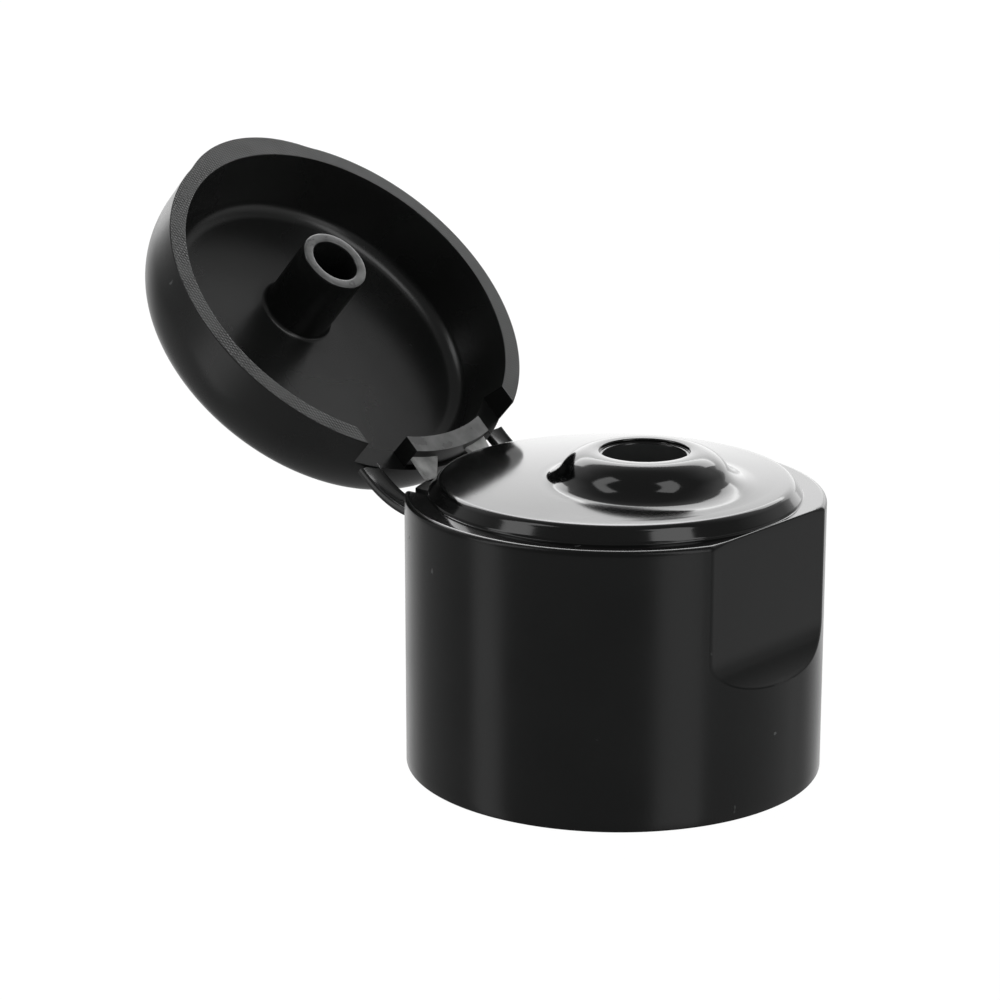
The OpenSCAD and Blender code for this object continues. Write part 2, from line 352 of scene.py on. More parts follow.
@dataclass(frozen=True)
class MouldedPlastic:
    """Black moulded polypropylene: a slightly uneven gloss over a faint grain.

    Attributes:
        name: name of the material.
        colour: base colour, linear.
        pale: colour of its paler patches, linear.
        roughness: lowest and highest roughness over the surface.
        grain: strength of the fine bump.
        waviness: strength of the wide, shallow bump of moulded plastic.
        flecks: how strongly small scuffs show.
        hatch: strength of fine crossed lines left by the mould.
        patch_scale: scale of the patches, per metre.
        specular: strength of the mirror-like share.
    """

    name: str
    colour: tuple[float, float, float]
    pale: tuple[float, float, float]
    roughness: Pair
    grain: float = 0.2
    waviness: float = 0.05
    flecks: float = 0.0
    hatch: float = 0.0
    patch_scale: float = 140.0
    specular: float = 0.5

    def build(self) -> bpy.types.Material:
        """Make the material."""
        material = bpy.data.materials.new(self.name)
        material.use_nodes = True
        nodes = NodeTree(material.node_tree)
        place = nodes.add("ShaderNodeTexCoord").outputs["Object"]
        patches = nodes.add("ShaderNodeTexNoise", {"Vector": place, "Scale": self.patch_scale, "Detail": 4.0})
        share = nodes.ramp(patches.outputs["Fac"], 0.35, 0.65, 0.0, 1.0)
        colour = nodes.blend_colour(share, self.colour, self.pale)
        rough = nodes.ramp(share, 0.0, 1.0, *self.roughness)
        if self.flecks:
            scuffs = self.scuffs(nodes, place)
            colour = nodes.blend_colour(nodes.math("MULTIPLY", scuffs, self.flecks), colour, SCUFF_COLOUR)
            rough = nodes.math("ADD", rough, nodes.math("MULTIPLY", scuffs, 0.25))
        looks = {"Base Color": colour, "Roughness": rough, "Normal": self.bumps(nodes, place)}
        shader = nodes.add("ShaderNodeBsdfPrincipled", {**looks, "Specular IOR Level": self.specular})
        nodes.add("ShaderNodeOutputMaterial", {"Surface": shader.outputs["BSDF"]})
        return material

    def scuffs(self, nodes: NodeTree, place: Socket) -> Socket:
        """Mask of a few tiny, ragged scuffs."""
        noise = nodes.add("ShaderNodeTexNoise", {"Vector": place, "Scale": 900.0, "Detail": 2.0})
        given = {0: noise.outputs["Color"], 1: (SCUFF_BEND,) * 3, 2: place}
        bent = nodes.add("ShaderNodeVectorMath", given, operation="MULTIPLY_ADD").outputs["Vector"]
        cells = nodes.add("ShaderNodeTexVoronoi", {"Vector": bent, "Scale": SCUFF_SCALE})
        rare = nodes.add("ShaderNodeSeparateColor", {"Color": cells.outputs["Color"]})
        few = nodes.math("GREATER_THAN", rare.outputs["Red"], SCUFF_RARITY)
        return nodes.product(nodes.ramp(cells.outputs["Distance"], 0.06, 0.12, 1.0, 0.0), few)

    def bumps(self, nodes: NodeTree, place: Socket) -> Socket:
        """Waviness, grain and hatch lines, stacked as one normal."""
        layers = []
        for (scale, depth), detail, strength in ((WAVES, 1.0, self.waviness), (GRAIN, 2.0, self.grain)):
            noise = nodes.add("ShaderNodeTexNoise", {"Vector": place, "Scale": scale, "Detail": detail})
            layers.append((noise, strength, depth))
        for direction in ("X", "DIAGONAL") if self.hatch else ():
            given = {"Vector": place, "Scale": HATCH[0], "Distortion": 1.2, "Detail": 1.0}
            lines = nodes.add("ShaderNodeTexWave", given, bands_direction=direction)
            layers.append((lines, self.hatch, HATCH[1]))
        below = {}
        for texture, strength, depth in layers:
            given = {"Height": texture.outputs["Fac"], "Strength": strength, "Distance": depth, **below}
            below = {"Normal": nodes.add("ShaderNodeBump", given).outputs["Normal"]}
        return below["Normal"]


class Finish(Enum):
    """The finishes that the cap's surfaces have."""

    DECK = MouldedPlastic(
        "deck_gloss", (0.0025, 0.0027, 0.0026), (0.0035, 0.0037, 0.0036), (0.09, 0.12),
        grain=0.05, waviness=0.03, flecks=0.3,
    )
    WALL = MouldedPlastic(
        "wall_satin", (0.004, 0.0043, 0.0042), (0.006, 0.0064, 0.0062), (0.2, 0.25),
        grain=0.3, flecks=0.6, specular=0.25,
    )
    LID = MouldedPlastic(
        "lid_satin", (0.005, 0.0053, 0.0052), (0.008, 0.0085, 0.0082), (0.26, 0.32),
        grain=0.4, waviness=0.08, flecks=0.5, specular=0.35,
    )
    INSIDE = MouldedPlastic(
        "lid_inside", (0.007, 0.0075, 0.0072), (0.01, 0.0106, 0.0102), (0.24, 0.3),
        grain=0.3, waviness=0.08, flecks=0.2,
    )
    RIM = MouldedPlastic(
        "rim_hatched", (0.012, 0.0126, 0.0123), (0.045, 0.047, 0.046), (0.34, 0.48),
        grain=0.5, waviness=0.1, flecks=1.0, hatch=0.22, patch_scale=420.0,
    )
    # Pale grey painted highlight for the notch's faces, the tongue's end and the pin's tip of the black
    # plastic.
    CUT = MouldedPlastic(
        "hinge_cut", (0.1, 0.102, 0.101), (0.19, 0.193, 0.191), (0.26, 0.36),
        grain=0.5, waviness=0.2, flecks=0.2, patch_scale=700.0,
    )
    # Bore: paler than the black body, painted light that stands for the light reaching down the bore.
    BORE = MouldedPlastic(
        "bore_satin_painted_light", (0.03, 0.0315, 0.031), (0.05, 0.052, 0.051), (0.3, 0.4), grain=0.4, waviness=0.1
    )
    # Pale grey of the hinge webs: stress whitening, plus painted light that stands for light shining through
    # the thin film from behind.
    FILM = MouldedPlastic(
        "film_whitened_painted_backlight", (0.34, 0.345, 0.34), (0.6, 0.605, 0.595), (0.35, 0.5),
        grain=0.6, waviness=0.5, flecks=0.6, hatch=0.1, patch_scale=900.0,
    )
    STRAP = MouldedPlastic(
        "strap_gloss", (0.005, 0.0053, 0.0052), (0.012, 0.0125, 0.0122), (0.12, 0.2),
        grain=0.3, waviness=0.3, flecks=0.4,
    )


@dataclass
class TurnedSkin:
    """A closed skin of rings that all have the same angles, counted from the thumb side, -Y.

    Attributes:
        sizes: driving sizes of the cap.
        dense_half: half width of the stretch at the thumb side with close angles, in degrees.
        dense_step: step inside it, in degrees.
        coarse_step: step on the rest of the turn, in degrees.
        angles: the angles in radians, rising, over one turn.
    """

    sizes: CapSizes
    dense_half: float = 29.0
    dense_step: float = 0.4
    coarse_step: float = 2.0
    angles: np.ndarray = field(init=False)

    def __post_init__(self) -> None:
        """Work out the angles."""
        dense = np.arange(-self.dense_half, self.dense_half, self.dense_step)
        coarse = np.arange(self.dense_half, 360 - self.dense_half, self.coarse_step)
        self.angles = np.radians(np.concatenate([dense, coarse]))

    def ring(self, radius: Numbers, z: Numbers, centre_y: float = 0) -> Ring:
        """One ring of points about a vertical axis.

        Args:
            radius: one radius, or one for each angle.
            z: one height, or one for each angle.
            centre_y: where the axis crosses Y.

        Returns:
            Array of points, one for each angle.
        """
        x, y = radius * np.sin(self.angles), centre_y - radius * np.cos(self.angles)
        return np.stack([x, y, np.broadcast_to(z, self.angles.shape)], axis=-1)

    def rings(self, profile: Sequence[Pair], centre_y: float = 0) -> list[Ring]:
        """One ring for each radius and height of a profile."""
        return [self.ring(r, z, centre_y) for r, z in profile]


@dataclass
class Base(TurnedSkin):
    """The bottle side of the cap: wall, ledge, deck, nozzle, recess, sleeve and hinge notch."""

    recess_y: float = 12.6
    recess_z: float = 11.0
    recess_round: float = 3.0
    recess_soft: float = 0.1
    backing_soft: float = 0.15
    edge_round: float = 0.12
    ledge_round: float = 0.36
    mouth_r: float = 3.0
    mouth_depth: float = 0.24
    lip_outer_r: float = 3.5
    foot_up: float = 0.12
    shoulder_round: float = 2.35
    bell_tilt: float = 56.95
    bell_hollow: float = 2.117
    skirt_tilt: float = 13.5
    skirt_w: float = 0.7
    dome: float = 0.46
    blend_soft: float = 0.14
    deck_round: float = 0.65
    flank_tilt: float = 60.0
    flank_foot: float = 0.16
    foot_drop: float = 0.18
    sleeve_r: float = 11.1
    neck_r: float = 10.1
    land_r: float = 9.7
    thread_l: float = 16.2
    under_z: float = 18.5
    pocket_z: float = 17.4
    seal_r: float = 7.1
    seal_t: float = 0.8
    seal_l: float = 1.6
    tube_r: float = 3.6
    tube_l: float = 0.9
    seat_x: float = 5.5
    notch_x: float = 8.6
    notch_z: float = 17.0
    notch_floor: float = 15.9
    notch_wall: float = 0.8
    inside_heights: tuple[float, ...] = (
        0.0, 0.05, 5.0, 6.6, 7.0, 7.4, 7.8, 8.2, 8.6, 9.0, 9.5, 10.0, 10.5, 11.0, 13.0, 15.0
    )

    def recess_radius(self, z: Numbers, inwards: float = 0.0) -> np.ndarray:
        """Distance of the thumb recess's surface from the axis, for each angle.

        Args:
            z: height of the ring.
            inwards: how far inside that surface to measure.

        Returns:
            One radius for each angle, very large where the recess is out of reach.
        """
        far = 99.0
        reach = self.recess_round + inwards
        drop = np.clip(self.recess_z - z, 0, reach)
        hollow = self.recess_y + self.recess_round - np.sqrt(reach**2 - drop**2)
        face = np.where(self.recess_z - z >= reach, far, hollow)
        facing = np.cos(self.angles)
        return np.where(facing > 0.5, face / np.maximum(facing, 0.5), far)

    def wall_radius(self, z: Numbers, inwards: float = 0.0) -> np.ndarray:
        """Radius of the outer wall at a height, or inside it, with the thumb recess taken out softly."""
        full = np.full_like(self.angles, self.sizes.cap_r - inwards)
        soft = self.backing_soft if inwards else self.recess_soft
        return smooth_min(full, self.recess_radius(z, inwards), soft)

    def ledge_rounding(self) -> np.ndarray:
        """Rounding of the ledge's outer edge, for each angle, finer where the recess cuts it."""
        s = self.sizes
        share = np.clip((self.wall_radius(s.base_h) - s.cap_r + 0.6) / 0.6, 0, 1)
        return self.edge_round + (self.ledge_round - self.edge_round) * share

    def nozzle_rings(self) -> list[Ring]:
        """Rings from the top of the bore over the lip, the shoulder and the bell to the skirt on the deck."""
        s = self.sizes
        seat_z = s.nozzle_z - self.mouth_depth
        soft = 0.1
        profile = [(s.bore_r, seat_z - 0.15), (s.bore_r, seat_z - soft)]
        profile += round_arc((s.bore_r + soft, seat_z - soft), soft, 180, 90, 3)
        profile += [(self.mouth_r - 0.03, seat_z), (self.mouth_r, seat_z + 0.03)]
        profile += round_arc((self.mouth_r + soft, s.nozzle_z - soft), soft, 180, 90, 3)
        steep, shoulder, hollow = self.bell_tilt, self.shoulder_round, self.bell_hollow
        centre = np.array([self.lip_outer_r, s.nozzle_z - shoulder])
        profile += round_arc(centre, shoulder, 90, 90 - steep, 24)
        lean, slope = math.radians(steep), math.tan(math.radians(self.skirt_tilt))
        centre = centre + (shoulder + hollow) * np.array([math.sin(lean), math.cos(lean)])
        profile += round_arc(centre, hollow, 270 - steep, 270 - self.skirt_tilt, 24)[1:]
        r, z = profile[-1]
        profile += [(r + step, z - step * slope) for step in self.skirt_w * np.array([0.1, 0.4, 0.7, 1.0])]
        return [self.on_deck(ring) for ring in self.rings(profile, s.nozzle_y)]

    def dome_z(self, radius: Numbers) -> Numbers:
        """Height of the domed deck at a distance from the axis."""
        return self.sizes.deck_z + self.dome * (1 - (radius / self.sizes.deck_edge_r) ** 2)

    def on_deck(self, ring: Ring) -> Ring:
        """Lift a ring's points softly to the domed deck where they lie below it."""
        lifted = ring.copy()
        dome_z = self.dome_z(np.hypot(ring[:, 0], ring[:, 1]))
        lifted[:, 2] = -smooth_min(-ring[:, 2], -dome_z, self.blend_soft)
        return lifted

    def deck_rings(self) -> list[Ring]:
        """Rings from the deck over its rounded edge and sloping flank to the ledge's outer edge."""
        s = self.sizes
        soft = 0.1
        edge_r = s.deck_edge_r
        profile = [(r, self.dome_z(r)) for r in (edge_r - 0.6, edge_r - 0.2)]
        round_r = self.deck_round
        profile += round_arc((edge_r, s.deck_z - round_r), round_r, 86, 90 - self.flank_tilt, 10)
        knee, foot = np.array(profile[-1]), np.array([s.deck_r, s.base_h + self.flank_foot])
        profile += [tuple(knee + (foot - knee) * share) for share in (0.05, 0.35, 0.65, 0.9, 0.98)]
        profile += round_arc((s.deck_r + soft, s.base_h + soft), soft, 180, 270, 4)
        inner = s.deck_r + soft
        outer = np.maximum(self.wall_radius(s.base_h) - self.ledge_rounding(), inner + 0.01)
        profile += [(inner + (outer - inner) * share, s.base_h) for share in (0.02, 0.3, 0.6, 0.85, 0.98)]
        return self.rings(profile)

    def outer_rings(self) -> list[Ring]:
        """Rings down the outside of the wall, round its top and bottom edges."""
        s = self.sizes
        rings = []
        rounding = self.ledge_rounding()
        for turn in np.radians(np.linspace(90, 0, 7)):
            z = s.base_h - rounding * (1 - math.sin(turn))
            inset = rounding * (1 - math.cos(turn))
            rings.append(self.ring(self.wall_radius(z) - inset, z))
        heights = [np.arange(18.1, 12.0, -0.35), np.arange(12.0, 7.9, -0.06), np.arange(7.8, 0.4, -0.7)]
        rings += [self.ring(self.wall_radius(z), z) for z in np.concatenate(heights).tolist()]
        edge = self.edge_round
        return rings + self.rings(round_arc((s.cap_r - edge, edge), edge, 0, -90, 4))

    def inner_wall_rings(self) -> list[Ring]:
        """Rings up the inside of the outer wall and down the outside of the sleeve."""
        wall = self.sizes.wall
        heights = (*self.inside_heights, self.notch_floor - 0.05)
        rings = [self.ring(self.wall_radius(z, wall), z) for z in heights]
        across = np.abs(np.sin(self.angles)) * (self.sizes.cap_r - wall)
        at_hinge = (np.cos(self.angles) < 0) & (across < self.notch_x + self.notch_wall)
        top = np.where(at_hinge, self.notch_floor, self.pocket_z)
        rings.append(self.ring(self.wall_radius(self.inside_heights[-1], wall), top))
        return rings + [self.ring(self.sleeve_r, z) for z in (top, self.notch_floor - 0.1, 8.0, 0.05, 0.0)]

    def bore_rings(self) -> list[Ring]:
        """Rings up the threaded bore, round the plug seal and up through the nozzle's bore."""
        s = self.sizes
        seal_end = self.under_z - self.seal_l
        soft = 0.2
        profile = [(self.neck_r + 0.1, 0.0)] + [(self.neck_r, z) for z in (0.1, 8.0, self.thread_l)]
        profile += [(self.land_r, self.thread_l + 0.05), (self.land_r, self.under_z)]
        profile += [(self.seal_r + 0.3, self.under_z), (self.seal_r, self.under_z - 0.3)]
        profile += round_arc((self.seal_r - soft, seal_end + soft), soft, 0, -90, 4)
        profile += round_arc((self.seal_r - self.seal_t + soft, seal_end + soft), soft, 270, 180, 4)
        profile += [(self.seal_r - self.seal_t, self.under_z)]
        tube = [(self.tube_r, self.under_z), (self.tube_r, self.under_z - self.tube_l)]
        tube += [(s.bore_r + 0.1, self.under_z - self.tube_l), (s.bore_r, self.under_z - self.tube_l + 0.1)]
        tube += [(s.bore_r, 19.5)]
        return self.rings(profile) + self.rings(tube, s.nozzle_y)

    def cut_notch(self, piece: Piece) -> None:
        """Cut the seat for the webs and the pocket for each strap out of the wall."""
        s = self.sizes
        inner, outer, high = s.deck_r + 0.03, s.cap_r + 2.0, s.base_h + 0.5
        lapped = self.seat_x - 0.02
        tools = [(-self.seat_x, self.seat_x, s.seat_z)]
        tools += [(lapped, self.notch_x, self.notch_z), (-self.notch_x, -lapped, self.notch_z)]
        for x_from, x_to, low in tools:
            outline = sector_outline(inner, outer, x_from, x_to)
            combine(piece, prism("notch_tool", outline, low, high), "DIFFERENCE")

    def finish_index(self, centres: np.ndarray, normals: np.ndarray) -> np.ndarray:
        """Choose glossy deck, satin wall, a painted highlight on the notch's faces or painted light in the
        bore for each face.
        """
        s = self.sizes
        deck, wall, painted_highlight, bore = range(4)
        x, y, z = centres.T
        radius = np.hypot(x, y)
        index = np.where((z > s.base_h - 0.02) & (radius < s.cap_r - 0.05), deck, wall)
        # the notch's faces get the pale painted highlight
        in_notch = (np.abs(x) > self.seat_x) & (np.abs(x) < self.notch_x + 0.01) & (y > 0)
        in_notch &= (radius > s.deck_r + 0.04) & (radius < s.cap_r - 0.01)
        in_notch &= (z > self.notch_z - 0.01) & (z < s.base_h - 0.02)
        index = np.where(in_notch, painted_highlight, index)
        # the bore below the mouth gets a paler colour: painted light
        in_bore = np.hypot(x, y - s.nozzle_y) < s.bore_r + 0.01
        return np.where(in_bore & (z < s.nozzle_z - self.mouth_depth - 0.12), bore, index)

    def build(self) -> Piece:
        """Make the base's skin."""
        s = self.sizes
        nozzle = self.nozzle_rings()
        deck = self.deck_rings()
        middle = between(nozzle[-1], deck[0], 10)
        for i, ring in enumerate(middle):
            ring[:, 2] = s.deck_z + self.foot_up - self.foot_drop * (i + 1) / len(middle)
        rings = nozzle + [self.on_deck(ring) for ring in middle] + deck
        rings += self.outer_rings() + self.inner_wall_rings() + self.bore_rings()
        piece = skin_mesh("base_shell", rings)
        self.cut_notch(piece)
        finishes = (Finish.DECK, Finish.WALL, Finish.CUT, Finish.BORE)
        dress(piece, finishes, self.finish_index)
        smooth(piece)
        return piece


@dataclass
class Lid(TurnedSkin):
    """The domed lid with its plug pin, thumb lip, window over the hinge and tongue."""

    dense_half: float = 32.0
    dense_step: float = 0.8
    coarse_step: float = 1.6
    height: float = 6.5
    side_h: float = 2.3
    round_w: float = 2.5
    rim_t: float = 1.21
    taper: float = 0.76
    rim_round: float = 0.05
    depth: float = 5.0
    fillet: float = 1.2
    lip_centre_y: float = 4.0
    lip_r: float = 10.5
    lip_out: float = 0.5
    lip_h: float = 1.8
    lip_soft: float = 0.12
    pin_r: float = 2.5
    pin_bore_r: float = 1.72
    pin_reach: float = 0.78
    pin_foot: float = 0.35
    window_x: float = 7.6
    tongue_x: float = 3.75
    tongue_r: float = 12.5
    tongue_t: float = 1.25
    tongue_up: float = 0.2

    def side_radius(self, up: float) -> np.ndarray:
        """Radius of the lid's outside at a height above its rim, thumb lip included."""
        half = self.lip_h / 2
        share = min(max((up - half) / half, 0.0), 1.0)
        lip_r = self.lip_r - self.lip_out + self.lip_out * math.sqrt(1 - share**2)
        a = self.angles
        inside = np.maximum(lip_r**2 - (self.lip_centre_y * np.sin(a)) ** 2, 0)
        lip = self.lip_centre_y * np.cos(a) + np.sqrt(inside)
        lip = np.where(np.cos(a) > 0, lip, 0.0)
        full = np.full_like(a, self.sizes.cap_r)
        return full if up > self.lip_h else -smooth_min(-full, -lip, self.lip_soft)

    def outside_rings(self) -> list[Ring]:
        """Rings from the top's middle over the rounded edge down to the rim."""
        s = self.sizes
        rings = self.rings([(r, s.rim_z + self.height) for r in (1.0, 5.0, 9.0, 11.0)])
        centre = (s.cap_r - self.round_w, s.rim_z + self.side_h)
        rings += self.rings(ellipse_arc(centre, (self.round_w, self.height - self.side_h), 90, 0, 28))
        soft = self.rim_round
        for up in (2.1, 1.95, 1.8, 1.76, 1.7, 1.6, 1.45, 1.25, 1.05, 0.9, 0.5, 0.12):
            rings.append(self.ring(self.side_radius(up), s.rim_z + up))
        edge = self.side_radius(0.0)
        for inset, up in ellipse_arc((soft, soft), (-soft, -soft), 0, 90, 3) + [(soft + 0.02, 0.0)]:
            rings.append(self.ring(edge - inset, s.rim_z + up))
        return rings

    def inside_rings(self) -> list[Ring]:
        """Rings from the rim's inner edge up the wall and over the fillet to the ceiling."""
        s = self.sizes
        rim_r = s.cap_r - self.rim_t
        ceiling_z = s.rim_z + self.depth
        ceiling_r = rim_r - self.taper
        soft = self.rim_round
        profile = [(rim_r + soft + 0.02, s.rim_z)]
        profile += round_arc((rim_r + soft, s.rim_z + soft), soft, 270, 180, 3)
        profile += [(rim_r - 0.01, s.rim_z + 0.1)]
        wall_h = self.depth - self.fillet
        profile += [(rim_r - self.taper * t, s.rim_z + wall_h * t) for t in (0.25, 0.5, 0.75)]
        profile += round_arc((ceiling_r - self.fillet, ceiling_z - self.fillet), self.fillet, 4, 90, 12)
        profile += [(ceiling_r - self.fillet - 0.4, ceiling_z)]
        return self.rings(profile)

    def pin_rings(self) -> list[Ring]:
        """Rings from the pin's foot on the ceiling over its tip to the end of its bore."""
        s = self.sizes
        ceiling_z = s.rim_z + self.depth
        tip_z = s.rim_z - self.pin_reach
        soft = 0.2
        foot = self.pin_foot
        profile = round_arc((self.pin_r + foot, ceiling_z - foot), foot, 90, 180, 6)
        profile += [(self.pin_r, tip_z + 2.0)]
        profile += round_arc((self.pin_r - soft, tip_z + soft), soft, 0, -90, 5)
        profile += round_arc((self.pin_bore_r + soft, tip_z + soft), soft, 270, 180, 5)
        profile += [(self.pin_bore_r, tip_z + 2.0), (self.pin_bore_r, ceiling_z - 0.3)]
        profile += round_arc((self.pin_bore_r - 0.3, ceiling_z - 0.3), 0.3, 0, 90, 4)
        profile += [(0.6, ceiling_z)]
        return self.rings(profile, s.nozzle_y)

    def cut_window(self, piece: Piece) -> None:
        """Open the wall over the hinge and hang the tongue in the opening."""
        s = self.sizes
        top = s.rim_z + s.window_h
        window = sector_outline(10.0, s.cap_r + 1.0, -self.window_x, self.window_x)
        combine(piece, prism("window_tool", window, s.rim_z - 1, top), "DIFFERENCE")
        tongue = sector_outline(self.tongue_r, self.tongue_r + self.tongue_t, -self.tongue_x, self.tongue_x)
        combine(piece, prism("tongue_tool", tongue, s.rim_z + self.tongue_up, top + 0.3), "UNION")

    def finish_index(self, centres: np.ndarray, normals: np.ndarray) -> np.ndarray:
        """Choose satin outside, dark inside, hatched rim, or a painted highlight on the tongue's end and the
        pin's tip, for each face of the closed lid.
        """
        s = self.sizes
        skin, inner, rim, painted_highlight = range(4)
        x, y, z = centres.T
        up = z - s.rim_z
        radius = np.hypot(x, y)
        outwards = (x * normals[:, 0] + y * normals[:, 1]) / np.maximum(radius, 0.01)
        outside = (up > self.depth + 0.1) | ((outwards > 0.3) & (radius > self.tongue_r + 0.3))
        index = np.where(outside, skin, inner)
        down = normals[:, 2] < -0.85
        in_wall = down & (radius > self.tongue_r - 0.3)
        # the tongue's end face gets the pale painted highlight
        on_tongue = down & (np.abs(x) < self.tongue_x) & (np.abs(up - self.tongue_up) < 0.05)
        index = np.where(on_tongue, painted_highlight, index)
        index = np.where(in_wall & (np.abs(up - s.window_h) < 0.05), skin, index)
        index = np.where(in_wall & (up < 0.05), rim, index)
        # the pin's tip gets the pale painted highlight
        on_tip = (np.hypot(x, y - s.nozzle_y) < self.pin_r) & (up < 0.1 - self.pin_reach)
        return np.where(on_tip, painted_highlight, index)

    def build(self) -> Piece:
        """Make the lid's skin, closed, and carry it to its open place."""
        s = self.sizes
        inside = self.inside_rings()
        pin = self.pin_rings()
        rings = self.outside_rings() + inside + between(inside[-1], pin[0], 8) + pin
        poles = [
            np.array([0, 0, s.rim_z + self.height]),
            np.array([0, s.nozzle_y, s.rim_z + self.depth]),
        ]
        piece = skin_mesh("lid_shell", rings, poles)
        self.cut_window(piece)
        finishes = (Finish.LID, Finish.INSIDE, Finish.RIM, Finish.CUT)
        dress(piece, finishes, self.finish_index)
        flat = np.zeros(len(piece.data.vertices) * 3, np.float32)
        piece.data.vertices.foreach_get("co", flat)
        turned = s.opened(flat.reshape(-1, 3) / MM) * MM
        piece.data.vertices.foreach_set("co", turned.astype(np.float32).ravel())
        piece.data.update()
        turn_outwards(piece)
        smooth(piece)
        return piece


def bar_mesh(
    name: str, path: np.ndarray, normals: np.ndarray, edges: np.ndarray, thick: float, rib: float = 0.0
) -> Piece:
    """Thin band with rounded edges along a path in the middle plane's Y and Z.

    Args:
        name: name of the object.
        path: points of the band's middle line, as Y and Z.
        normals: unit normal of the band at each point.
        edges: lowest and highest X of the band at each point.
        thick: thickness of the band at its edges.
        rib: how far the middle lies below the two edges, on both faces.

    Returns:
        The linked object.
    """
    half, soft = thick / 2, thick * 0.16
    near = [(0.0, 0.0), (0.0, half - soft), (0.3 * soft, half - 0.3 * soft), (soft, half)]
    near += [(2 * soft, half), (3 * soft, half - rib * 0.8), (4 * soft, half - rib)]
    top = [(0, inset, lift) for inset, lift in near] + [(0.5, 0.0, half - rib)]
    top += [(1, -inset, lift) for inset, lift in near[::-1]]
    section = top + [(share, inset, -lift) for share, inset, lift in top[::-1][1:-1]]
    rings = []
    for (y, z), n, (low, high) in zip(path, normals, edges):
        ring = []
        for share, inset, lift in section:
            ring.append((low + (high - low) * share + inset, y + n[0] * lift, z + n[1] * lift))
        rings.append(ring)
    stacked = np.array(rings)
    poles = [stacked[0].mean(axis=0), stacked[-1].mean(axis=0)]
    return skin_mesh(name, stacked, poles)


@dataclass
class Hinge:
    """The flexible hinge: two webs at which the lid turns, and two bowed straps outside them."""

    sizes: CapSizes
    web_t: float = 0.35
    web_outer_x: float = 3.75
    web_inner_x: float = 1.05
    foot_x: float = 3.2
    foot_w: float = 0.7
    tongue_outer_r: float = 13.75
    strap_t: float = 0.5
    strap_x: float = 5.7
    strap_w: float = 1.7
    strap_drop: float = 2.1
    strap_bow: float = 0.5
    strap_rib: float = 0.1
    steps: int = 20

    def closed_point(self, radius: float, x: float, up: float) -> np.ndarray:
        """Y and Z, with the lid open, of a point on a cylinder of the closed lid."""
        s = self.sizes
        point = np.array([x, math.sqrt(radius**2 - x**2), s.rim_z + up])
        return s.opened(point)[1:]

    def web(self, side: Side) -> Piece:
        """Make one web: a thin plate from the seat's edge that widens up to the tongue."""
        s = self.sizes
        foot = np.array([math.sqrt(s.cap_r**2 - self.foot_x**2) - 0.15, s.seat_z - 0.05])
        head = self.closed_point(self.tongue_outer_r - 0.2, self.web_outer_x, s.window_h / 2)
        run = head - foot
        normal = np.array([-run[1], run[0]]) / np.linalg.norm(run)
        shares = np.linspace(0, 1, self.steps + 1)
        path = np.array([foot + run * t for t in shares])
        foot_low, foot_high = self.foot_x - self.foot_w / 2, self.foot_x + self.foot_w / 2
        low = foot_low + (self.web_inner_x - foot_low) * shares**0.8
        high = foot_high + (self.web_outer_x - foot_high) * shares**0.7
        edges = np.stack([low, high], axis=1) if side is Side.RIGHT else np.stack([-high, -low], axis=1)
        name = f"web_film_{side.name.lower()}"
        piece = bar_mesh(name, path, np.array([normal] * len(path)), edges, self.web_t)
        # The webs' pale grey is stress whitening plus painted backlight.
        dress(piece, (Finish.FILM,))
        smooth(piece)
        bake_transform(piece)
        return piece

    def strap(self, side: Side) -> Piece:
        """Make one strap: a flat band bowed from the base's wall to the lid's."""
        s = self.sizes
        middle_x = self.strap_x + self.strap_w / 2
        end = self.closed_point(s.cap_r, middle_x, s.window_h + self.strap_t / 2)
        wall_y = math.sqrt(s.cap_r**2 - (self.strap_x + self.strap_w) ** 2)
        foot = np.array([wall_y - s.wall / 3, s.base_h - self.strap_drop])
        bend = (end + foot) / 2 - np.array([0, 2 * self.strap_bow])
        shares = np.linspace(0, 1, self.steps + 1)[:, None]
        path = (1 - shares) ** 2 * foot + 2 * shares * (1 - shares) * bend + shares**2 * end
        along = np.gradient(path, axis=0)
        along /= np.linalg.norm(along, axis=1)[:, None]
        normals = np.stack([-along[:, 1], along[:, 0]], axis=1)
        xs = sorted((self.strap_x * side.value, (self.strap_x + self.strap_w) * side.value))
        name = f"strap_band_{side.name.lower()}"
        piece = bar_mesh(name, path, normals, np.array([xs] * len(path)), self.strap_t, self.strap_rib)
        dress(piece, (Finish.STRAP,))
        smooth(piece)
        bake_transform(piece)
        return piece


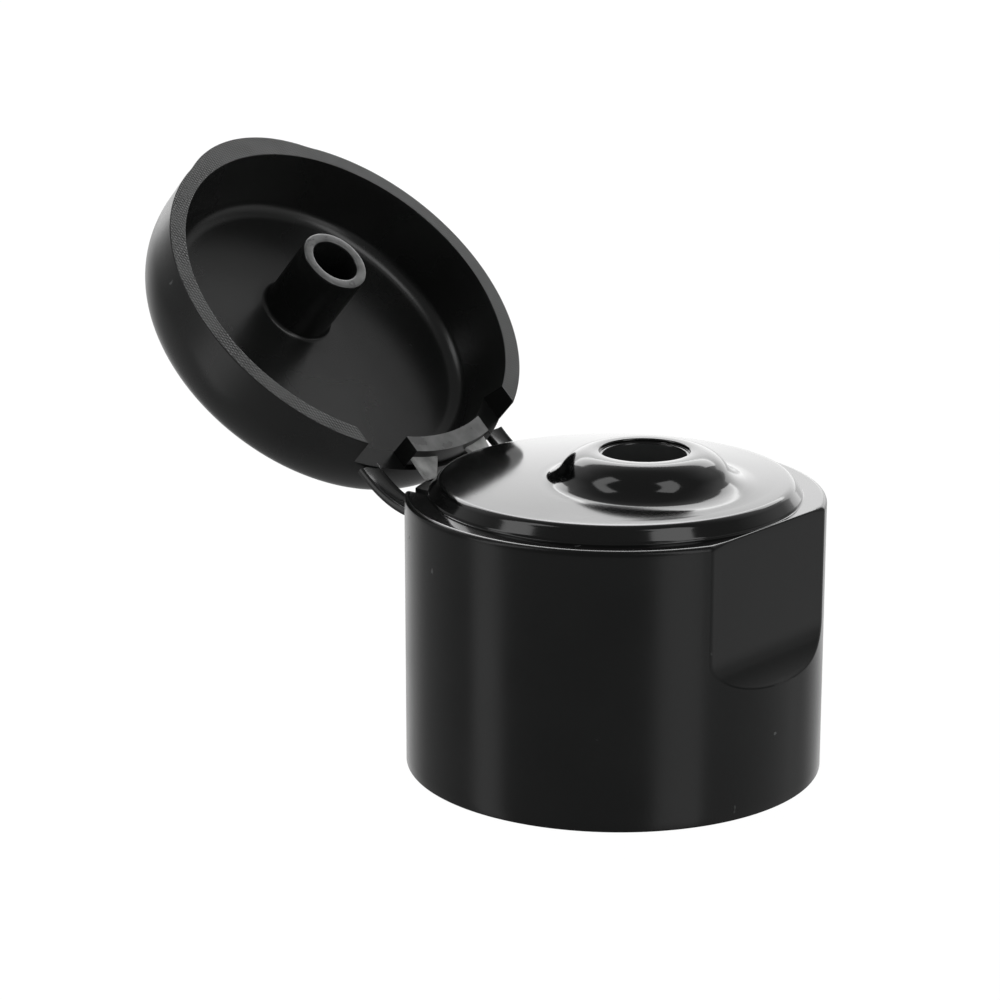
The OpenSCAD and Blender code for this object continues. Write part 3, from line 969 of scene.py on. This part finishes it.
@dataclass
class NeckThread:
    """The ridge inside the sleeve, swept along a helix by Geometry Nodes."""

    bore_r: float = 10.1
    depth: float = 0.8
    width: float = 1.3
    pitch: float = 3.2
    turns: float = 2.2
    start_z: float = 2.2
    fade: float = 0.06
    tip_share: float = 0.12

    def tree(self) -> bpy.types.GeometryNodeTree:
        """Build the node tree, with the thread's sizes as named inputs."""
        tree = bpy.data.node_groups.new("neck_thread", "GeometryNodeTree")
        for name in ("Turns", "Radius", "Rise", "Start", "Profile", "Flatten"):
            tree.interface.new_socket(name, in_out="INPUT", socket_type="NodeSocketFloat")
        tree.interface.new_socket("Material", in_out="INPUT", socket_type="NodeSocketMaterial")
        tree.interface.new_socket("Geometry", in_out="OUTPUT", socket_type="NodeSocketGeometry")
        nodes = NodeTree(tree)
        given = nodes.add("NodeGroupInput").outputs
        radii = {"Start Radius": given["Radius"], "End Radius": given["Radius"]}
        turns = {"Resolution": 64, "Rotations": given["Turns"], "Height": given["Rise"]}
        helix = nodes.add("GeometryNodeCurveSpiral", {**radii, **turns}).outputs["Curve"]
        lift = nodes.add("ShaderNodeCombineXYZ", {"Z": given["Start"]}).outputs["Vector"]
        raised = nodes.add("GeometryNodeTransform", {"Geometry": helix, "Translation": lift})
        along = nodes.add("GeometryNodeSplineParameter").outputs["Factor"]
        fade = nodes.add("ShaderNodeFloatCurve", {"Value": along})
        curve = fade.mapping.curves[0]
        for point, share in zip(curve.points, (0.0, 1.0)):
            point.location = (share, self.tip_share)
        for share in (self.fade, 1 - self.fade):
            curve.points.new(share, 1.0)
        fade.mapping.update()
        path = {"Curve": raised.outputs["Geometry"], "Radius": fade.outputs["Value"]}
        tapered = nodes.add("GeometryNodeSetCurveRadius", path).outputs["Curve"]
        upright = nodes.add("GeometryNodeSetCurveNormal", {"Curve": tapered}, mode="Z_UP").outputs["Curve"]
        section = nodes.add("GeometryNodeCurvePrimitiveCircle", {"Resolution": 12, "Radius": given["Profile"]})
        squash = nodes.add("ShaderNodeCombineXYZ", {"X": given["Flatten"], "Y": 1.0, "Z": 1.0})
        scaled = {"Geometry": section.outputs["Curve"], "Scale": squash.outputs["Vector"]}
        shaped = nodes.add("GeometryNodeTransform", scaled)
        swept = {"Curve": upright, "Profile Curve": shaped.outputs["Geometry"], "Fill Caps": True}
        sweep = nodes.add("GeometryNodeCurveToMesh", swept).outputs["Mesh"]
        real = nodes.add("GeometryNodeRealizeInstances", {"Geometry": sweep}).outputs["Geometry"]
        dressed = nodes.add("GeometryNodeSetMaterial", {"Geometry": real, "Material": given["Material"]})
        nodes.add("NodeGroupOutput", {"Geometry": dressed.outputs["Geometry"]})
        return tree

    def build(self) -> Piece:
        """Make the ridge as a plain mesh."""
        piece = plain_mesh("neck_thread_ridge", np.zeros((0, 3)), [])
        step = piece.modifiers.new("thread", "NODES")
        step.node_group = self.tree()
        values = {
            "Turns": self.turns,
            "Radius": self.bore_r * MM,
            "Rise": self.turns * self.pitch * MM,
            "Start": self.start_z * MM,
            "Profile": self.width / 2 * MM,
            "Flatten": 2 * self.depth / self.width,
            "Material": made_finish(Finish.WALL),
        }
        for item in step.node_group.interface.items_tree:
            if item.name in values:
                step[item.identifier] = values[item.name]
        apply_modifiers(piece)
        turn_outwards(piece)
        dress(piece, (Finish.WALL,))
        smooth(piece)
        return piece


@dataclass
class Studio:
    """Camera, floor, backdrop and lamps of a plain white studio."""

    camera_at: tuple[float, float, float] = (-0.16018, -0.12526, 0.07533)
    target: tuple[float, float, float] = (-0.004937, 0.005846, 0.018105)
    lit_at: tuple[float, float, float] = (0.0, 0.006, 0.02)
    lens: float = 114.44
    floor_size: float = 4.0
    ambient: float = 0.2
    low_glow: float = 0.2
    side_glow: float = 0.42
    back_glow: float = 1.1
    floor_glow: float = 1.04
    floor_shadow: float = 0.05

    def camera(self) -> None:
        """Place the camera at the photograph's viewing angle."""
        data = bpy.data.cameras.new("camera")
        data.lens = self.lens
        data.sensor_width = 36.0
        data.clip_start = 0.01
        data.clip_end = 20.0
        made = bpy.data.objects.new("camera", data)
        made.location = self.camera_at
        aim = Vector(self.target) - Vector(self.camera_at)
        made.rotation_euler = aim.to_track_quat("-Z", "Y").to_euler()
        bpy.context.scene.collection.objects.link(made)
        bpy.context.scene.camera = made

    def floor_white(self) -> bpy.types.Material:
        """Floor material: plain white to the camera, with a faint shadow."""
        material = bpy.data.materials.new("floor_white")
        material.use_nodes = True
        nodes = NodeTree(material.node_tree)
        rays = nodes.add("ShaderNodeLightPath")
        seen = nodes.math("MAXIMUM", rays.outputs["Is Camera Ray"], rays.outputs["Is Glossy Ray"])
        seen = nodes.math("MAXIMUM", seen, rays.outputs["Is Transmission Ray"])
        plain = nodes.add("ShaderNodeBsdfDiffuse", {"Color": (0.8, 0.8, 0.8, 1.0)}).outputs["BSDF"]
        light = nodes.add("ShaderNodeEmission", {"Color": WHITE, "Strength": self.floor_glow})
        share = nodes.math("MULTIPLY", seen, 1 - self.floor_shadow)
        mix = nodes.add("ShaderNodeMixShader", {"Fac": share, 1: plain, 2: light.outputs["Emission"]})
        nodes.add("ShaderNodeOutputMaterial", {"Surface": mix.outputs["Shader"]})
        return material

    def floor(self) -> None:
        """Lay the floor, which the cap's sides don't mirror."""
        half = self.floor_size / 2 / MM
        corners = [(-half, -half, 0), (half, -half, 0), (half, half, 0), (-half, half, 0)]
        made = plain_mesh("floor", np.array(corners, float), [(0, 1, 2, 3)])
        made.data.materials.append(self.floor_white())
        made.visible_glossy = False
        made.visible_shadow = False

    def lamp(
        self, name: str, azimuth: float, elevation: float, distance: float, size: Pair, glow: float
    ) -> None:
        """Add a soft rectangular lamp aimed at the cap.

        Args:
            name: name of the lamp.
            azimuth: compass angle of the lamp in degrees, from -Y towards +X.
            elevation: angle above the floor in degrees.
            distance: metres from the cap.
            size: width and height in metres.
            glow: brightness of its face, where 1 is white.
        """
        data = bpy.data.lights.new(name, "AREA")
        data.shape = "RECTANGLE"
        data.size, data.size_y = size
        data.energy = glow * math.pi * size[0] * size[1]
        made = bpy.data.objects.new(name, data)
        a, e = math.radians(azimuth), math.radians(elevation)
        away = Vector((math.sin(a) * math.cos(e), -math.cos(a) * math.cos(e), math.sin(e)))
        made.location = Vector(self.lit_at) + away * distance
        made.rotation_euler = away.to_track_quat("Z", "Y").to_euler()
        bpy.context.scene.collection.objects.link(made)

    def world(self) -> None:
        """White surroundings to the camera; in reflections, white behind and dim in front and above."""
        world = bpy.data.worlds.new("studio")
        bpy.context.scene.world = world
        world.use_nodes = True
        nodes = NodeTree(world.node_tree)
        direction = nodes.add("ShaderNodeTexCoord").outputs["Generated"]
        rays = nodes.add("ShaderNodeLightPath")
        run = [end - start for start, end in zip(self.camera_at, self.target)]
        aim = Vector((run[0], run[1], 0)).normalized()
        facing = nodes.add("ShaderNodeVectorMath", {0: direction, 1: aim}, operation="DOT_PRODUCT")
        behind = facing.outputs["Value"]
        height = nodes.add("ShaderNodeSeparateXYZ", {"Vector": direction}).outputs["Z"]
        side_glow = nodes.product(
            nodes.ramp(behind, 0.0, 0.5, 0.0, self.side_glow),
            nodes.ramp(height, -0.1, 0.5, 0.0, 1.0),
            nodes.ramp(height, 0.66, 0.92, 1.0, 0.0),
        )
        back_glow = nodes.product(
            nodes.ramp(behind, 0.6, 0.9, 0.0, self.back_glow),
            nodes.ramp(height, 0.42, 0.62, 1.0, 0.0),
            nodes.ramp(height, -0.2, 0.0, 0.5, 1.0),
            nodes.ramp(height, -0.62, -0.42, 0.0, 1.0),
        )
        total = nodes.math("ADD", side_glow, back_glow)
        total = nodes.math("ADD", total, nodes.ramp(height, -0.15, 0.0, self.low_glow, 0.0))
        total = nodes.math("ADD", total, self.ambient)
        total = nodes.product(total, nodes.ramp(height, -0.62, -0.42, 0.8, 1.0))
        dim = nodes.add("ShaderNodeBackground", {"Color": WHITE, "Strength": total}).outputs["Background"]
        bright = nodes.add("ShaderNodeBackground", {"Color": WHITE, "Strength": 1.0}).outputs["Background"]
        mix = nodes.add("ShaderNodeMixShader", {"Fac": rays.outputs["Is Camera Ray"], 1: dim, 2: bright})
        nodes.add("ShaderNodeOutputWorld", {"Surface": mix.outputs["Shader"]})

    def build(self) -> None:
        """Set up the whole studio."""
        self.camera()
        self.floor()
        self.world()
        self.lamp("back_panel", 128.5, 15, 0.9, (1.5, 0.45), 1.1)
        self.lamp("high_back_panel", 128.5, 35, 0.9, (1.1, 0.28), 3.3)
        self.lamp("left_high", -127, 38, 0.8, (0.22, 0.8), 2.1)
        self.lamp("right_high", -6, 38, 0.8, (0.28, 0.8), 2.1)
        self.lamp("left_low", -123.6, -12, 0.8, (0.24, 0.6), 1.0)
        self.lamp("right_low", -16, -12, 0.8, (0.34, 0.6), 1.0)
        self.lamp("far_right_low", 30, -14, 0.8, (1.1, 0.7), 0.21)


def main() -> None:
    """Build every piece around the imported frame."""
    logging.basicConfig(level=logging.INFO, format="%(name)s: %(message)s")
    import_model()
    bpy.context.scene.view_settings.view_transform = "Standard"
    Studio().build()
    sizes = CapSizes()
    base = Base(sizes).build()
    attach(base, "base")
    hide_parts("base")

    lid = Lid(sizes).build()
    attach(lid, "lid")
    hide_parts("lid")
    pieces = [base, lid]

    hinge = Hinge(sizes)
    for side in Side:
        for make, node in ((hinge.web, "web"), (hinge.strap, "strap")):
            piece = make(side)
            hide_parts(f"{node}_{side.name.lower()}")
            pieces.append(piece)

    thread = NeckThread().build()
    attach(thread, "base")
    for piece in (*pieces, thread):
        LOG.info("%s: %d faces", piece.name, len(piece.data.polygons))


if __name__ == "__main__":
    main()
